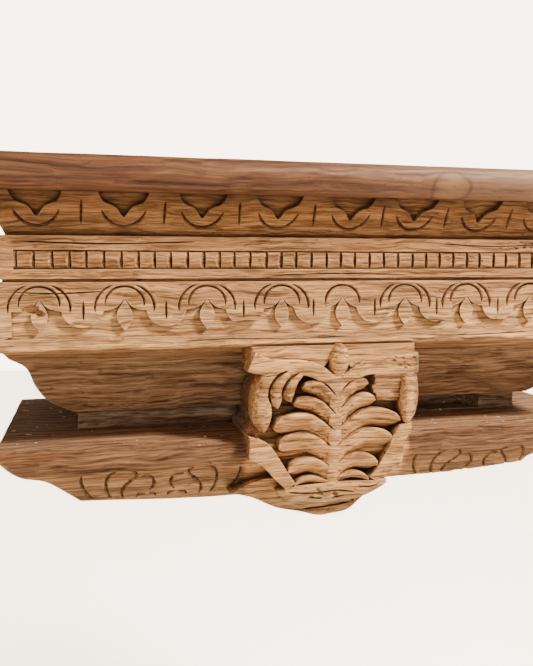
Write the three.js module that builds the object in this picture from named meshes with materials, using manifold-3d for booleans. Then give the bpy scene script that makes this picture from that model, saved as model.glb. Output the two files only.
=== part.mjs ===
// A carved wooden corbel: one long timber with moulded, carved bands, a leaf carved on a block
// at its middle, and a separate half-round board on top. Millimetres, X along the wall,
// Y into the wall, Z up. The origin is the middle of the flat back, on the wall.
import * as THREE from 'three';
import { mergeVertices } from 'three/addons/utils/BufferGeometryUtils.js';
import Module from 'manifold-3d';

const wasm = await Module();
wasm.setup();

// Driving sizes of the timber
const BEAD_PITCH = 12.7;
const NOTCHES_EACH_SIDE = 20;
const HALF_LENGTH = 268;
const BEAD_REACH = 236; // wall to the face of the bead row
const BODY_TOP = 120;
const BODY_BOTTOM = -130;
const PAST = 40; // how far a cutting or crossing solid runs past the timber

// Heights and setbacks of the mouldings. A setback is measured back from the bead face.
const SLOPE_BAND = { foot: 88, topSetback: -10, footSetback: 7 };
const FILLET_SETBACK = 0.5;
const BEAD = { z: 70, halfHeight: 7, depth: 4.5 };
const GROOVE = { top: 55.5, foot: 52.5, setback: 4 };
const LOWER_BAND_FOOT = 4;
const COVE = { top: 0, foot: -30, topSetback: 2, footSetback: 52 };
const FASCIA = { foot: -58, setback: 59 };
const NECK = { setback: 78, rightSetback: 104, rightStart: 60, rightEnd: 168, end: 213 };
const TIER = { top: -76.5, arrisSetback: 10, bulge: -92, footSetback: 26, end: 275 };
const UNDERSIDE = { left: { x: 212, z: -123 }, right: { x: 184, z: -115 } }; // where each end meets it
const NOTCH = { halfWidth: 3, depth: 3.2, endMargin: 1 };

// Top board
const BOARD = { thickness: 26.5, gap: 0.3, frontSetback: -24, overhang: 14 };

// Carved motifs of the two scalloped bands, set out by eye along the timber, and how deep they are
const UPPER_MOTIFS = [-238, -174.5, -114.5, -53.5, 7.5, 64, 123.5, 183, 240];
const LOWER_MOTIFS = [-238, -175, -111, -50, 2, 58, 115, 177, 238];
const MOTIF_END = 264;
const CUP = { z: 33.5, halfWidth: 15.5, drop: 15 };
const SUNK_FOOT = 10;
const UPPER_SINK = 3.5;
const LOWER_SINK = 2;

// Leaf block and the worn edges of what is carved on it
const EDGE_SPREAD = 0.8;
const PETAL_CHAMFER = 1.5;
const LEAF_CHAMFER = 2;
const BUD_CHAMFER = 3;
const BORDER_CHAMFER = 1.5;
const EMBED = 2; // how far a carved part runs back into the block
const PETAL_EMBED = 6;
const LEAF = { ground: 10, front: -9, back: 112, stemLean: -0.055, stemHalf: 5, pairPitch: 14.6 };
const BORDER = { width: 20, knee: -92, top: -114, foot: -119, footRun: 10 };
const PENDANT = { front: 4, back: 60 };

const WOOD = { color: 0xb1855a, roughness: 0.72, metalness: 0 };
const BOARD_WOOD = { color: 0x8a5c3c, roughness: 0.62, metalness: 0 };

const reach = (setback) => -(BEAD_REACH - setback);
const point = (x, y) => new THREE.Vector2(x, y);

// Three.js geometry to a closed solid, and back again
function solid(geometry) {
  const bare = geometry.clone();
  bare.deleteAttribute('normal');
  bare.deleteAttribute('uv');
  const merged = mergeVertices(bare, 1e-4);
  return new wasm.Manifold(new wasm.Mesh({
    numProp: 3,
    vertProperties: new Float32Array(merged.attributes.position.array),
    triVerts: new Uint32Array(merged.index.array),
  }));
}

function geometryOf(body) {
  const mesh = body.getMesh();
  const geometry = new THREE.BufferGeometry();
  geometry.setAttribute('position', new THREE.BufferAttribute(new Float32Array(mesh.vertProperties), 3));
  geometry.setIndex(new THREE.BufferAttribute(new Uint32Array(mesh.triVerts), 1));
  geometry.computeVertexNormals();
  return geometry;
}

const joined = (bodies) => bodies.reduce((whole, body) => whole.add(body));

// A profile in Y and Z run along X, and an elevation in X and Z run forward from a given Y
const ALONG_X = new THREE.Matrix4().makeBasis(
  new THREE.Vector3(0, 1, 0), new THREE.Vector3(0, 0, 1), new THREE.Vector3(1, 0, 0));
const FORWARD = new THREE.Matrix4().makeBasis(
  new THREE.Vector3(1, 0, 0), new THREE.Vector3(0, 0, 1), new THREE.Vector3(0, -1, 0));

function runAlongX(points, x0, x1) {
  const shape = new THREE.Shape(points);
  const geometry = new THREE.ExtrudeGeometry(shape, { depth: x1 - x0, bevelEnabled: false });
  return solid(geometry.applyMatrix4(ALONG_X).translate(x0, 0, 0));
}

function runForward(shape, backSetback, frontSetback, chamfer = 0) {
  const back = reach(backSetback);
  const depth = back - reach(frontSetback);
  const geometry = new THREE.ExtrudeGeometry(shape, {
    depth: depth - 2 * chamfer,
    bevelEnabled: chamfer > 0,
    bevelThickness: chamfer,
    bevelSize: chamfer * EDGE_SPREAD,
    bevelOffset: -chamfer * EDGE_SPREAD,
    bevelSegments: 1,
    curveSegments: 6,
  });
  return solid(geometry.translate(0, 0, chamfer).applyMatrix4(FORWARD).translate(0, back, 0));
}

const smooth = (points, count) => new THREE.SplineCurve(points).getPoints(count);

// Points on an elliptical arc from angle a0 to a1, in degrees
function arc(cx, cy, rx, ry, a0, a1, count) {
  return Array.from({ length: count + 1 }, (_, i) => {
    const angle = THREE.MathUtils.degToRad(a0 + (a1 - a0) * i / count);
    return point(cx + rx * Math.cos(angle), cy + ry * Math.sin(angle));
  });
}

// Front profile of the timber, from the top at the wall round to the bottom at the wall
function frontProfile() {
  const face = (setback, z) => point(reach(setback), z);
  const beadTop = BEAD.z + BEAD.halfHeight;
  const beadFoot = BEAD.z - BEAD.halfHeight;
  const bead = arc(reach(BEAD.depth), BEAD.z, -BEAD.depth, BEAD.halfHeight, 90, -90, 6);
  const cove = arc(reach(COVE.topSetback), COVE.foot, COVE.footSetback - COVE.topSetback,
    COVE.top - COVE.foot, 90, 0, 5);
  const shoulder = smooth([face(TIER.arrisSetback, TIER.top), face(4, -80), face(0.5, -86),
    face(0, TIER.bulge)], 5);
  return [
    point(0, BODY_TOP),
    face(SLOPE_BAND.topSetback, BODY_TOP),
    face(SLOPE_BAND.footSetback, SLOPE_BAND.foot),
    face(FILLET_SETBACK, SLOPE_BAND.foot),
    face(FILLET_SETBACK, beadTop),
    ...bead,
    face(FILLET_SETBACK, beadFoot),
    face(FILLET_SETBACK, GROOVE.top),
    face(GROOVE.setback, GROOVE.top),
    face(GROOVE.setback, GROOVE.foot),
    face(0, GROOVE.foot),
    face(0, LOWER_BAND_FOOT),
    ...cove,
    face(FASCIA.setback, FASCIA.foot),
    face(NECK.setback, FASCIA.foot),
    face(NECK.setback, TIER.top),
    ...shoulder,
    face(TIER.footSetback, BODY_BOTTOM),
    point(0, BODY_BOTTOM),
  ];
}

// Outline of one end, from its top down to the underside
function endOutline({ x, z }) {
  const inFrom = (setback, height) => point(HALF_LENGTH - setback, height);
  return [
    inFrom(SLOPE_BAND.topSetback, BODY_TOP),
    inFrom(SLOPE_BAND.footSetback, SLOPE_BAND.foot),
    inFrom(FILLET_SETBACK, SLOPE_BAND.foot),
    inFrom(FILLET_SETBACK, GROOVE.top),
    inFrom(GROOVE.setback, GROOVE.top),
    inFrom(GROOVE.setback, GROOVE.foot),
    inFrom(0, GROOVE.foot),
    inFrom(0, COVE.top),
    ...smooth([inFrom(3, -8), inFrom(15, -17), inFrom(22, -34), inFrom(33, -48),
      inFrom(53, FASCIA.foot)], 9),
    point(NECK.end, TIER.top),
    ...smooth([point(TIER.end, TIER.top), point(271, -83), point(255, -96), point(238, -101),
      point(x + 10, z + 9), point(x, z)], 12),
  ];
}

// Underside: hand-cut, a little higher on the right, where the end sweeps up sooner
function frontElevation() {
  const right = endOutline(UNDERSIDE.right);
  const left = mirrored(endOutline(UNDERSIDE.left));
  const between = [point(110, -121), point(45, -122), point(-75, -129), point(-140, -128)];
  return new THREE.Shape([...right, ...between, ...left]);
}

function mouldedTimber() {
  const length = HALF_LENGTH + PAST;
  const profile = runAlongX(frontProfile(), -length, length);
  const elevation = runForward(frontElevation(), BEAD_REACH, -PAST);
  const deepNeck = new THREE.Shape([point(NECK.rightStart, FASCIA.foot), point(NECK.rightStart, TIER.top),
    point(NECK.rightEnd, TIER.top), point(NECK.rightEnd, FASCIA.foot)]);
  return profile.intersect(elevation)
    .subtract(runForward(deepNeck, NECK.rightSetback, NECK.setback - 1));
}

// V notches that part the roll into beads
function beadNotches() {
  const wide = 2 * NOTCH.halfWidth;
  const height = 2 * (BEAD.halfHeight - NOTCH.endMargin);
  const notches = [];
  for (let i = -NOTCHES_EACH_SIDE; i <= NOTCHES_EACH_SIDE; i += 1) {
    const x = i * BEAD_PITCH;
    const mouth = reach(-NOTCH.depth);
    const shape = new THREE.Shape([point(x - wide, mouth), point(x + wide, mouth),
      point(x, reach(NOTCH.depth))]);
    const geometry = new THREE.ExtrudeGeometry(shape, { depth: height, bevelEnabled: false });
    notches.push(solid(geometry.translate(0, 0, BEAD.z - height / 2)));
  }
  return joined(notches);
}

const mirrored = (points) => points.map((p) => point(-p.x, p.y)).reverse();
const movedTo = (points, x) => points.map((p) => point(p.x + x, p.y));

// Sunk ground above the scalloped edge of the sloping band: two lobes that meet in a hanging cusp
function upperSink(x) {
  const half = smooth([point(0, 102), point(5, 109), point(15, 113), point(18.5, BODY_TOP)], 6);
  const outline = [...mirrored(half.slice(1)), ...half];
  return runForward(new THREE.Shape(movedTo(outline, x)), SLOPE_BAND.footSetback + UPPER_SINK, -PAST);
}

// Everything in front of the sunk face, which runs parallel to the sloping band
function upperSinkFront() {
  const sunk = (setback, z) => point(reach(setback + UPPER_SINK), z);
  return runAlongX([
    sunk(SLOPE_BAND.topSetback, BODY_TOP),
    sunk(SLOPE_BAND.footSetback, SLOPE_BAND.foot),
    sunk(-2 * PAST, SLOPE_BAND.foot),
    sunk(-2 * PAST, BODY_TOP),
  ], -HALF_LENGTH, HALF_LENGTH);
}

// Sunk ground of the lower band, under the scallops and round the cups, with a bud left standing
function lowerSink(x, leftRun, rightRun) {
  const half = (run) => [
    ...smooth([point(0, 40), point(3.5, 34.5), point(run - CUP.halfWidth, 30.5)], 4),
    ...arc(run, CUP.z, CUP.halfWidth, CUP.drop, 192, 270, 4),
    point(run, SUNK_FOOT),
  ];
  const shape = new THREE.Shape(movedTo([...half(rightRun), ...mirrored(half(leftRun)).slice(0, -1)], x));
  const bud = smooth([point(0, 36), point(5.5, 29), point(5, 22), point(0, 16)], 5);
  shape.holes.push(new THREE.Path(movedTo([...bud, ...mirrored(bud).slice(1, -1)], x).reverse()));
  return runForward(shape, LOWER_SINK, -PAST);
}

function bandSinks() {
  const upper = joined(UPPER_MOTIFS.map(upperSink)).intersect(upperSinkFront());
  const lower = LOWER_MOTIFS.map((x, i) => {
    const left = i === 0 ? x + MOTIF_END : (x - LOWER_MOTIFS[i - 1]) / 2;
    const right = i === LOWER_MOTIFS.length - 1 ? MOTIF_END - x : (LOWER_MOTIFS[i + 1] - x) / 2;
    return lowerSink(x, left, right);
  });
  return upper.add(joined(lower));
}

const stemX = (z) => -2 - LEAF.stemLean * z;

// A drooping leaf: it leaves the stem, arches over and ends in a round tip
function droopingLeaf(side, rootZ, tip, front) {
  const root = stemX(rootZ) + side * LEAF.stemHalf;
  const foot = rootZ - LEAF.pairPitch + 2.5;
  const crown = point(tip.x - side * 10, tip.z + tip.r + 1.5);
  const outline = smooth([
    point(root, rootZ),
    point(root + (crown.x - root) * 0.45, rootZ + (crown.y - rootZ) * 0.72),
    crown,
    point(tip.x + side * tip.r * 0.6, tip.z + tip.r * 0.5),
    point(tip.x + side * tip.r, tip.z - tip.r * 0.2),
    point(tip.x + side * tip.r * 0.2, tip.z - tip.r),
    point(root + (tip.x - root) * 0.5, foot + (tip.z - tip.r - foot) * 0.8),
    point(root, foot),
  ], 17);
  const shape = new THREE.Shape([...outline, point(root - side * LEAF.stemHalf, foot),
    point(root - side * LEAF.stemHalf, rootZ)]);
  return runForward(shape, LEAF.ground + EMBED, front, LEAF_CHAMFER);
}

// A hanging petal of the curled arm, between two heights, widest a little above its round tip
function hangingPetal(x, top, tip, halfWidth, front) {
  const shape = new THREE.Shape(smooth([
    point(x - halfWidth * 0.8, top),
    point(x - halfWidth, top + (tip - top) * 0.45),
    point(x - halfWidth * 0.6, top + (tip - top) * 0.85),
    point(x, tip),
    point(x + halfWidth * 0.7, top + (tip - top) * 0.8),
    point(x + halfWidth, top + (tip - top) * 0.4),
    point(x + halfWidth * 0.8, top),
  ], 12));
  return runForward(shape, LEAF.ground + PETAL_EMBED, front, PETAL_CHAMFER);
}

// Curled arm at the head of the leaf, from the stem out to the corner of the block
function curledArm(side, corner) {
  const shape = new THREE.Shape([
    ...smooth([point(side * 4 - 2, -28), point(side * 14 - 2, -15), point(side * 30, -10),
      point(corner, -6)], 8),
    ...smooth([point(corner * 0.99, -14), point(corner * 0.9, -23), point(side * 30, -24),
      point(side * 16, -30), point(side * 4 - 3, -43)], 9),
  ]);
  return runForward(shape, LEAF.ground + EMBED, LEAF.front, LEAF_CHAMFER);
}

function bud() {
  const half = smooth([point(0, 1), point(7, -6), point(8, -14), point(3, -28)], 7);
  const shape = new THREE.Shape(movedTo([...half, ...mirrored(half).slice(0, -1)], -2));
  return runForward(shape, LEAF.ground, LEAF.front - 2, BUD_CHAMFER);
}

// Bar of the V-shaped border that cups the leaf from below
function borderBar(side, top, corner, foot) {
  const inner = corner - BORDER.width;
  const shape = new THREE.Shape([
    point(side * corner, top),
    point(side * corner, BORDER.knee),
    point(side * foot, BORDER.foot),
    point(0, BORDER.foot),
    point(0, BORDER.top),
    point(side * (foot - BORDER.footRun), BORDER.top),
    ...smooth([point(side * (inner - 6), -90), point(side * (inner + 1), -79),
      point(side * (corner - 8), top)], 5),
  ]);
  return runForward(shape, LEAF.ground + EMBED, LEAF.front - 1, BORDER_CHAMFER);
}

// Block behind the leaf
function leafBlock() {
  const shape = new THREE.Shape([
    point(-78, COVE.top + 2), point(-70, -23),
    ...smooth([point(-74, -32), point(-75, -45), point(-66, -66)], 5),
    point(-79, -74), point(-79, -93), point(-57, -111), point(-42, -126), point(20, -126),
    point(31, -117), point(52, -100), point(60, -76),
    ...smooth([point(57, -66), point(66, -52), point(66, -38), point(63, -28)], 5),
    point(69, -18), point(70, COVE.top + 2),
  ]);
  return runForward(shape, LEAF.back, LEAF.ground);
}

// Rough pendant that hangs below the timber behind the foot of the leaf
function pendant() {
  const edge = smooth([point(-94, -124), point(-75, -127), point(-54, -137), point(-17, -146.5),
    point(10, -143), point(31, -126), point(42, -114)], 12);
  const shape = new THREE.Shape([point(-94, -112), ...edge]);
  return runForward(shape, PENDANT.back, PENDANT.front);
}

// Sizes of the leaf pairs from the top down: root height, then each side's tip
const LEAF_PAIRS = [
  { root: -42, left: { x: -29, z: -32, r: 5 }, right: { x: 17, z: -32, r: 5 } },
  { root: -57, left: { x: -36, z: -45, r: 5 }, right: { x: 23, z: -46, r: 5.5 } },
  { root: -71, left: { x: -51, z: -63, r: 6.5 }, right: { x: 44, z: -63, r: 6.5 } },
  { root: -86, left: { x: -47, z: -81, r: 7 }, right: { x: 37, z: -81, r: 7.5 } },
  { root: -101, left: { x: -38, z: -102, r: 6 }, right: { x: 25, z: -101, r: 6 } },
];

// Hanging petals: middle, top, tip and half width. The right curl is worn down to two stubs.
const PETALS = [
  { x: -67, top: -20, tip: -68, half: 8, front: -4 },
  { x: -56, top: -20, tip: -49, half: 6, front: -5 },
  { x: -45.5, top: -21, tip: -44, half: 5, front: -6 },
  { x: 41, top: -20, tip: -50, half: 11, front: -2 },
  { x: 60, top: -20, tip: -67, half: 7.5, front: -4 },
];

function carvedLeaf() {
  const stem = new THREE.Shape([point(-7, -26), point(3, -26), point(-3, -116), point(-12, -116)]);
  const plate = new THREE.Shape([point(-56, -113), point(36, -113),
    ...smooth([point(28, -119), point(6, -129), point(-18, -131), point(-42, -128), point(-52, -118)], 8)]);
  const leaves = LEAF_PAIRS.flatMap((pair, i) => [
    droopingLeaf(-1, pair.root, pair.left, LEAF.front + 3 - 0.4 * i),
    droopingLeaf(1, pair.root + 2, pair.right, LEAF.front + 3 - 0.4 * i),
  ]);
  const petals = PETALS.map((p) => hangingPetal(p.x, p.top, p.tip, p.half, p.front));
  const sunkHead = new THREE.Shape([point(-78, 2), point(-76, -14), point(70, -14), point(70, 2)]);
  return joined([
    leafBlock(),
    pendant(),
    runForward(sunkHead, LEAF.ground + EMBED, LEAF.front + 4),
    runForward(stem, LEAF.ground, LEAF.front + 1, LEAF_CHAMFER),
    runForward(plate, LEAF.ground + EMBED, LEAF.front + 1, BORDER_CHAMFER),
    bud(),
    curledArm(-1, -77),
    curledArm(1, 69),
    borderBar(-1, -73, 80, 50),
    borderBar(1, -70, 62, 36),
    ...leaves,
    ...petals,
  ]);
}

function carvedCorbel() {
  return mouldedTimber()
    .subtract(beadNotches())
    .subtract(bandSinks())
    .add(carvedLeaf());
}

// Board with a half-round nosing along its front and both ends
function topBoard() {
  const foot = BODY_TOP + BOARD.gap;
  const radius = BOARD.thickness / 2;
  const front = reach(BOARD.frontSetback);
  const half = HALF_LENGTH - SLOPE_BAND.topSetback + BOARD.overhang;
  const nose = (tip) => arc(tip - radius, foot + radius, radius, radius, -90, 90, 8);
  const profile = [point(0, foot), point(0, foot + BOARD.thickness),
    ...nose(-front).map((p) => point(-p.x, p.y)).reverse()];
  const elevation = [...nose(half), ...mirrored(nose(half))];
  return runAlongX(profile, -half - PAST, half + PAST)
    .intersect(runForward(new THREE.Shape(elevation), BEAD_REACH, BOARD.frontSetback - PAST));
}

function piece(name, body, look) {
  const mesh = new THREE.Mesh(geometryOf(body), new THREE.MeshStandardMaterial(look));
  mesh.name = name;
  return mesh;
}

const corbel = new THREE.Group();
corbel.add(piece('carved_corbel', carvedCorbel(), WOOD));
corbel.add(piece('top_board', topBoard(), BOARD_WOOD));

export default corbel;
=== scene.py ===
import math
import random

import bmesh
import bpy
from mathutils import Matrix, Vector, noise


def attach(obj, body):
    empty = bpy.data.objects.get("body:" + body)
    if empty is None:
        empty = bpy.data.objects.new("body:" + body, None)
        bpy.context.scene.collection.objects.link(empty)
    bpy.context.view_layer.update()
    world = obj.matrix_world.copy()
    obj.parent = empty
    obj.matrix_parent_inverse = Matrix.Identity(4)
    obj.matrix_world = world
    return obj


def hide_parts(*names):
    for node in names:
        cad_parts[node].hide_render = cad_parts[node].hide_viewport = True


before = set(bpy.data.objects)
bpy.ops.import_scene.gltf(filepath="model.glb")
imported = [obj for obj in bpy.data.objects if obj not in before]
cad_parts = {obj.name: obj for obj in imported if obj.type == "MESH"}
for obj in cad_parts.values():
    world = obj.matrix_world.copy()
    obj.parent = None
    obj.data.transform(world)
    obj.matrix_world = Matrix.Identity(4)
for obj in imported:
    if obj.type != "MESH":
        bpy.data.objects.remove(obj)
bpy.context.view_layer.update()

# The moulded timber: one baulk of old teak, hewn to a stack of mouldings along its length and
# returned round both ends. Its flat back is fixed to the wall. Lengths are in millimetres, X along
# the wall, Y into it and Z up; a setback is measured back from the crest of the bead row.
MM = 0.001
BEAD_REACH = 236
HALF_LENGTH = 268
BODY_TOP = 120
BODY_BOTTOM = -134
UNDERCUT_BACK = 78
UNDERCUT_TOP = -58
UNDERCUT_MOUTH = 59
UNDERCUT_ROUGH = 3
END_SPARE = 14
FRONT_SPARE = 20
COLUMN_STEP = 3.2
ROW_STEP = 4.2
SLICE_STEP = 7
HEWN_WAVE = 0.45
HEWN_LENGTH = 34
CHISEL_WAVE = 0.12
CHISEL_LENGTH = 8
CALM_HALF = 150


def reach(setback):
    return setback - BEAD_REACH


def ripple(x, y, z, seed):
    """The unevenness that the adze and chisel left, in millimetres."""
    at = Vector((x, y, z + 100 * seed))
    return (HEWN_WAVE * noise.noise(at / HEWN_LENGTH)
            + CHISEL_WAVE * noise.noise(at / CHISEL_LENGTH))


def run(start, end, step=ROW_STEP):
    """Points from start up to, but without, the end of a straight run."""
    count = max(1, round(math.dist(start, end) / step))
    return [tuple(a + (b - a) * i / count for a, b in zip(start, end)) for i in range(count)]


def sweep(centre, radii, first, last, count):
    """Points along an elliptical arc, its angles in degrees."""
    turns = [math.radians(first + (last - first) * i / count) for i in range(count + 1)]
    return [(centre[0] + radii[0] * math.cos(a), centre[1] + radii[1] * math.sin(a)) for a in turns]


def curve(points, step):
    """A smooth line through the points, sampled every step or so."""
    ends = [points[0], *points, points[-1]]
    path = []
    for p0, p1, p2, p3 in zip(ends, ends[1:], ends[2:], ends[3:]):
        count = max(2, round(math.dist(p1, p2) / step))
        for i in range(count):
            t = i / count
            path.append(tuple(
                b + 0.5 * t * (c - a + t * (2 * a - 5 * b + 4 * c - d + t * (3 * (b - c) + d - a)))
                for a, b, c, d in zip(p0, p1, p2, p3)))
    return path + [tuple(points[-1])]


def solid(name, rings):
    """A closed solid through a row of rings of points, capped at both ends."""
    size = len(rings[0])
    faces = [range(size), range((len(rings) - 1) * size, len(rings) * size)]
    for i in range(len(rings) - 1):
        for j in range(size):
            k = (j + 1) % size
            faces.append((i * size + j, i * size + k, (i + 1) * size + k, (i + 1) * size + j))
    mesh = bpy.data.meshes.new(name)
    mesh.from_pydata([p for ring in rings for p in ring], [], [tuple(f) for f in faces])
    skin = bmesh.new()
    skin.from_mesh(mesh)
    bmesh.ops.recalc_face_normals(skin, faces=skin.faces)
    skin.to_mesh(mesh)
    skin.free()
    piece = bpy.data.objects.new(name, mesh)
    bpy.context.collection.objects.link(piece)
    return piece


def gathered(name, tools):
    """Several solids that don't touch each other, as one object."""
    skin = bmesh.new()
    for tool in tools:
        skin.from_mesh(tool.data)
        bpy.data.objects.remove(tool)
    mesh = bpy.data.meshes.new(name)
    skin.to_mesh(mesh)
    skin.free()
    piece = bpy.data.objects.new(name, mesh)
    bpy.context.collection.objects.link(piece)
    return piece


def worked(piece, tool, how):
    """Joins, cuts or crosses a piece with a tool solid, which is used up."""
    step = piece.modifiers.new("step", "BOOLEAN")
    step.operation = how
    step.solver = "MANIFOLD"
    step.object = tool
    graph = bpy.context.evaluated_depsgraph_get()
    result = bpy.data.meshes.new_from_object(piece.evaluated_get(graph))
    piece.modifiers.remove(step)
    piece.data = result
    bpy.data.objects.remove(tool)


def moulding_profile():
    """The side view down the front, then round the back, as (setback, height)."""
    bead = [(3.4 - d, z) for d, z in sweep((0, 70), (2.8, 7), 90, -90, 12)]
    cove = sweep((2, -30), (50, 30), 90, 0, 14)
    shoulder = curve([(9.4, -77.4), (4, -80), (0.8, -86), (0, -91.5)], 2)
    return [
        *run((-10, BODY_TOP), (7, 88.4)), (7, 88), (1.4, 88), *run((0.5, 87.2), (0.6, 77.7)),
        (1.1, 77.2), (3.2, 77.1), *bead, (3.2, 62.9), (1.1, 62.8), *run((0.6, 62.3), (0.5, 56.3)),
        (1.2, 55.6), (3.8, 54.8), (4, 53.6), (1, 52.7), *run((0.1, 52), (0, 6.6)),
        (0.9, 5.8), (0.9, 5), (-0.3, 4.2), (-0.6, 2.6), (0.2, 0.9), *cove,
        *run((52, -30.6), (58.6, -57)), (59.4, -57.8), *run((60.5, -58.2), (UNDERCUT_BACK, -58.2)),
        *run((UNDERCUT_BACK, -58.2), (UNDERCUT_BACK, -76.5)),
        *run((UNDERCUT_BACK, -76.5), (11, -76.5)), (10.3, -76.7), *shoulder,
        (0.9, -92.4), *run((0.9, -93.2), (28.7, BODY_BOTTOM)), (28.7, BODY_BOTTOM),
        (BEAD_REACH, BODY_BOTTOM), (BEAD_REACH, BODY_TOP)]


def hewn_mouldings():
    rings = []
    half = HALF_LENGTH + END_SPARE
    count = round(2 * half / COLUMN_STEP)
    profile = moulding_profile()
    for i in range(count + 1):
        x = -half + 2 * half * i / count
        ring = []
        for setback, z in profile:
            loose = setback < BEAD_REACH and BODY_BOTTOM < z < BODY_TOP
            rough = UNDERCUT_ROUGH if z < UNDERCUT_TOP and setback > UNDERCUT_MOUTH else 1
            wave = rough * ripple(x, setback, z, 1) if loose else 0
            ring.append((x, reach(setback + wave), z))
        rings.append(ring)
    return solid("hewn_mouldings", rings)


def end_outline(side, underside):
    """One end seen from the front, from the top down to the underside, as (X, height)."""
    inner, low = underside
    ogee = curve([(HALF_LENGTH, 0.4), (265, -8), (253, -17), (246, -34), (235, -48), (215, -58.2)], 4)
    foot = curve([(274, -77), (271, -83), (255, -96), (238, -101), (inner + 10, low + 9),
                  (inner, low)], 4)
    points = [
        *run((278, BODY_TOP + 4), (261, 88.4)), (261, 88), (266.8, 88),
        *run((267.5, 87.2), (267.5, 56)), (266.8, 55.5), (264, 54.8), (264, 53.4),
        (267.2, 52.6), *run((268, 51.8), (268, 4.5)),
        *ogee, (213, -58.4), *run((213, -60), (213, -76)), (214, -76.5), (273, -76.5), *foot]
    return [(side * x, z) for x, z in points]


def returned_ends():
    right = end_outline(1, (184, -115))
    left = end_outline(-1, (212, -123))
    under = curve([(184, -115), (110, -121), (45, -122), (-75, -129), (-140, -128), (-212, -123)], 9)
    outline = right + under[1:-1] + left[::-1]
    rings = []
    depth = BEAD_REACH + FRONT_SPARE
    count = round(depth / SLICE_STEP)
    for i in range(count + 1):
        y = 1 - (depth + 1) * i / count
        rings.append([(x + ripple(x, y, z, 2) * min(1, abs(x) / CALM_HALF), y, z + ripple(z, y, x, 3))
                      if z < BODY_TOP else (x, y, z) for x, z in outline])
    return solid("returned_ends", rings)


timber = hewn_mouldings()
worked(timber, returned_ends(), "INTERSECT")
timber.name = "carved_corbel"

# The deep part of the undercut, to the right of the leaf: the same timber, hacked out with a narrow
# chisel and left rough, where the light does not reach.
HACKED_LEFT, HACKED_RIGHT = 58, 178
HACKED_FROM = reach(70)
HACKED_WAVE = 2
HACKED_ROWS = [-59.6, -65, -70, -75.4]
hollow = curve([(60, 0), (75, 24), (110, 26), (140, 25), (168, 20), (175, 0)], 5)
worked(timber, solid("hacked_undercut", [
    [(HACKED_LEFT, HACKED_FROM, z),
     *[(x, reach(UNDERCUT_BACK + d + HACKED_WAVE * ripple(x, d, z, 4)), z) for x, d in hollow],
     (HACKED_RIGHT, HACKED_FROM, z)] for z in HACKED_ROWS]), "DIFFERENCE")

# The bead row and the two bands: cut into the mouldings with chisels and gouges. Beads are parted by
# V notches; the bands have sunk grounds in scalloped shapes, with arcs and ticks as single V cuts.
BEAD_PITCH = 12.7
NOTCHES_A_SIDE = 20
NOTCH_HALF = 2.9
NOTCH_DEPTH = 3.6
NOTCH_END_DEPTH = 3.4
NOTCH_TOP, NOTCH_FOOT = 77.2, 62.8
NOTCH_RUN_OUT = 3.2
NOTCH_LEAN = 0.25
UPPER_MOTIFS = [-238, -174.5, -114.5, -53.5, 7.5, 64, 123.5, 183, 240]
LOWER_MOTIFS = [-238, -175, -111, -50, 2, 58, 115, 177, 238]
SINGLE_ARC_MOTIF = 2
UPPER_ARC, UPPER_ARC_Z = (17.5, 18), 113
INNER_ARC, INNER_ARC_Z = (14.8, 13.2), 36.5
OUTER_ARC, OUTER_ARC_Z = (22.5, 18.6), 33.5
UPPER_TICK = (97, 117)
LOWER_TICK = (24, 41)
MOTIF_END = 264
UPPER_FOOT = 88
UPPER_HEIGHT = 32
UPPER_LEAN = 17
UPPER_SETBACK = 7
UPPER_SINK = 5
LOWER_SINK = 3
SINK_PROUD = 2.5
CUT_WIDTH = 2.9
CUT_DEPTH = 2.7
CUT_PROUD = 1.2
TICK_WIDTH = 2.2
carver = random.Random(7)


def upper_face(x, z, lift):
    slope = math.atan2(UPPER_LEAN, UPPER_HEIGHT)
    setback = UPPER_SETBACK - (z - UPPER_FOOT) * UPPER_LEAN / UPPER_HEIGHT
    return (x, reach(setback - lift * math.cos(slope)), z - lift * math.sin(slope))


def lower_face(x, z, lift):
    return (x, reach(-lift), z)


def v_cut(path, face, width=CUT_WIDTH, depth=CUT_DEPTH):
    """A V gouge stroke along a path on a face, running out at both ends."""
    rings = []
    for i, (x, z) in enumerate(path):
        before, after = path[max(i - 1, 0)], path[min(i + 1, len(path) - 1)]
        along = Vector((after[0] - before[0], after[1] - before[1])).normalized()
        shade = min(1, 0.35 + 0.65 * min(i, len(path) - 1 - i) / 1.5) * carver.uniform(0.9, 1.1)
        half = 0.5 * width * shade * (1 + CUT_PROUD / (depth * shade))
        across = Vector((-along.y, along.x)) * half
        rings.append([face(x - across.x, z - across.y, CUT_PROUD),
                      face(x + across.x, z + across.y, CUT_PROUD), face(x, z, -depth * shade)])
    return solid("v_cut", rings)


def sunk_ground(outline, face, depth):
    """A sunk ground: the outline taken straight back from the face."""
    lifts = (SINK_PROUD, -depth)
    return solid("sunk_ground", [[face(x, z, lift) for x, z in outline] for lift in lifts])


def bead_notches():
    for k in range(-NOTCHES_A_SIDE, NOTCHES_A_SIDE + 1):
        x = k * BEAD_PITCH + carver.uniform(-0.5, 0.5)
        half = NOTCH_HALF * carver.uniform(0.85, 1.15)
        rings = []
        for z, deep in [(NOTCH_TOP, NOTCH_END_DEPTH), (NOTCH_TOP - NOTCH_RUN_OUT, NOTCH_DEPTH),
                        (NOTCH_FOOT + NOTCH_RUN_OUT, NOTCH_DEPTH), (NOTCH_FOOT, NOTCH_END_DEPTH)]:
            lean = carver.uniform(-NOTCH_LEAN, NOTCH_LEAN)
            rings.append([(x - half * 1.5 + lean, reach(-1), z), (x + half * 0.8 + lean, reach(-1), z),
                          (x + half * 0.55 + lean, reach(deep), z)])
        yield solid("bead_notch", rings)


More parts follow.
